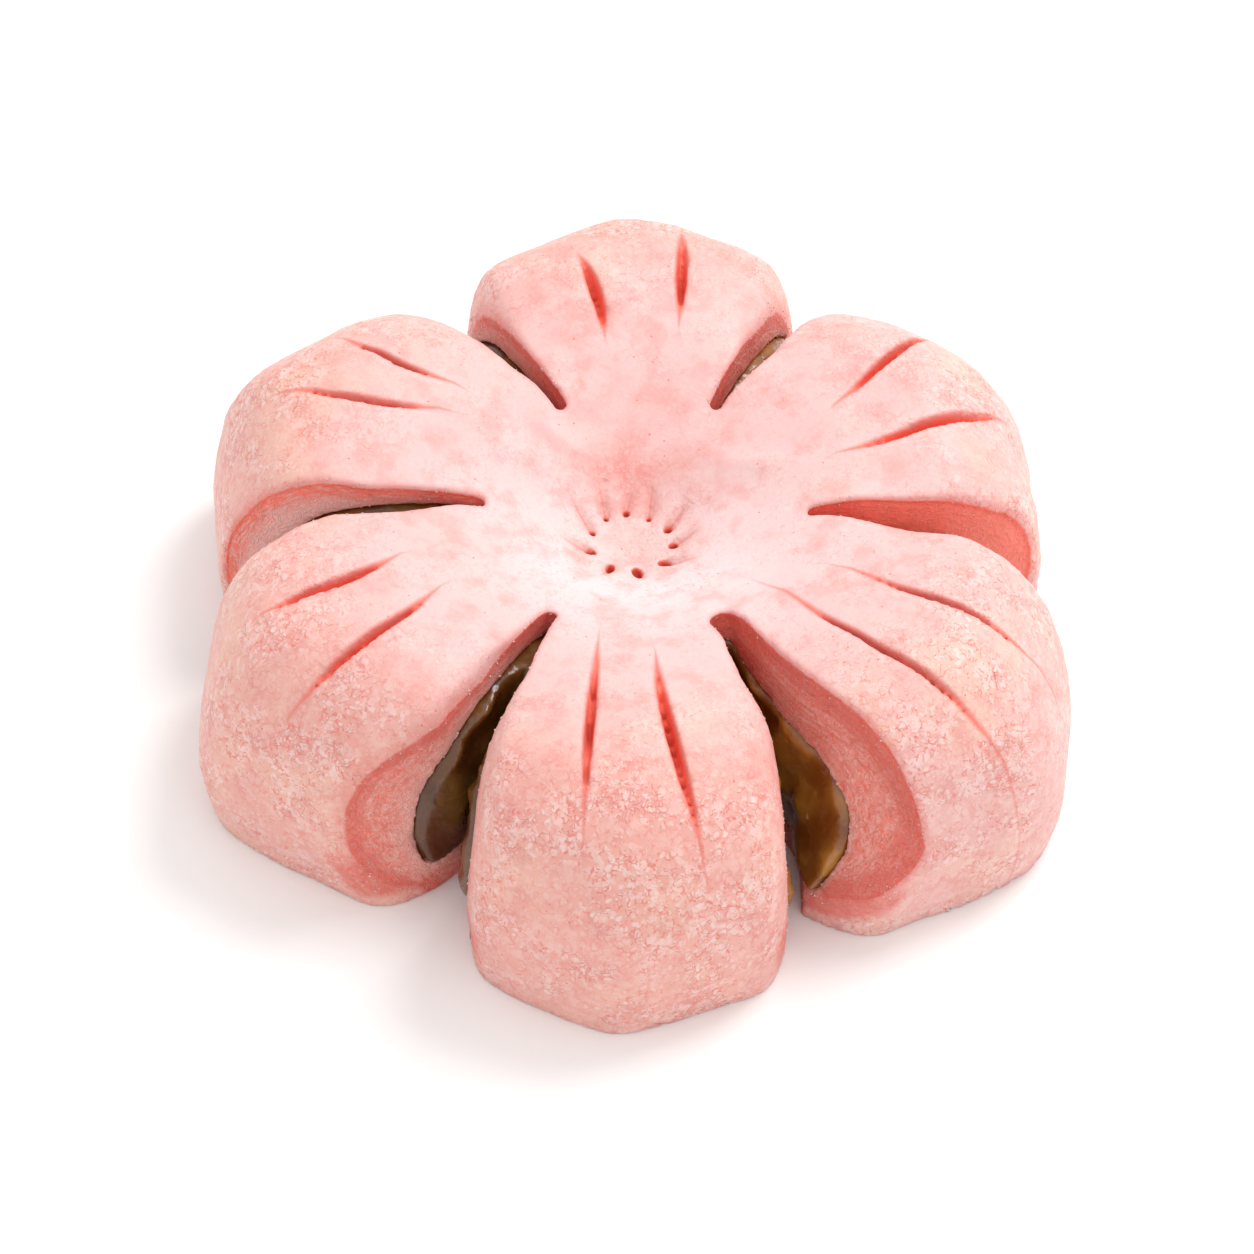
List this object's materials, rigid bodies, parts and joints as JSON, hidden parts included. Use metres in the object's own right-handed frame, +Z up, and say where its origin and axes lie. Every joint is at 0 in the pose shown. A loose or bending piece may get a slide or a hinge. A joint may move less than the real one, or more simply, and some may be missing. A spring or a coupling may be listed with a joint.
{
  "type": "peach blossom pastry",
  "caption": "Flaky pink pastry shaped like an open blossom, with cut petals joined in a dished middle and a dark fruit paste showing in the cuts.",
  "frame": {"origin": "middle of the flat underside, under the pastry's dished middle", "axes": "+Z up through the dished middle, -Y along the front petal, +X to the right of someone facing that petal"},
  "size_m": [0.0653, 0.0723, 0.0198],
  "materials": {
    "pink_dough": "matte, pale pink, with fine flakes and rosy cut faces",
    "fruit_paste": "glossy, brown-olive, slightly translucent"
  },
  "bodies": {
    "root": {"dough": "pink_dough", "filling": "fruit_paste"}
  },
  "joints": []
}
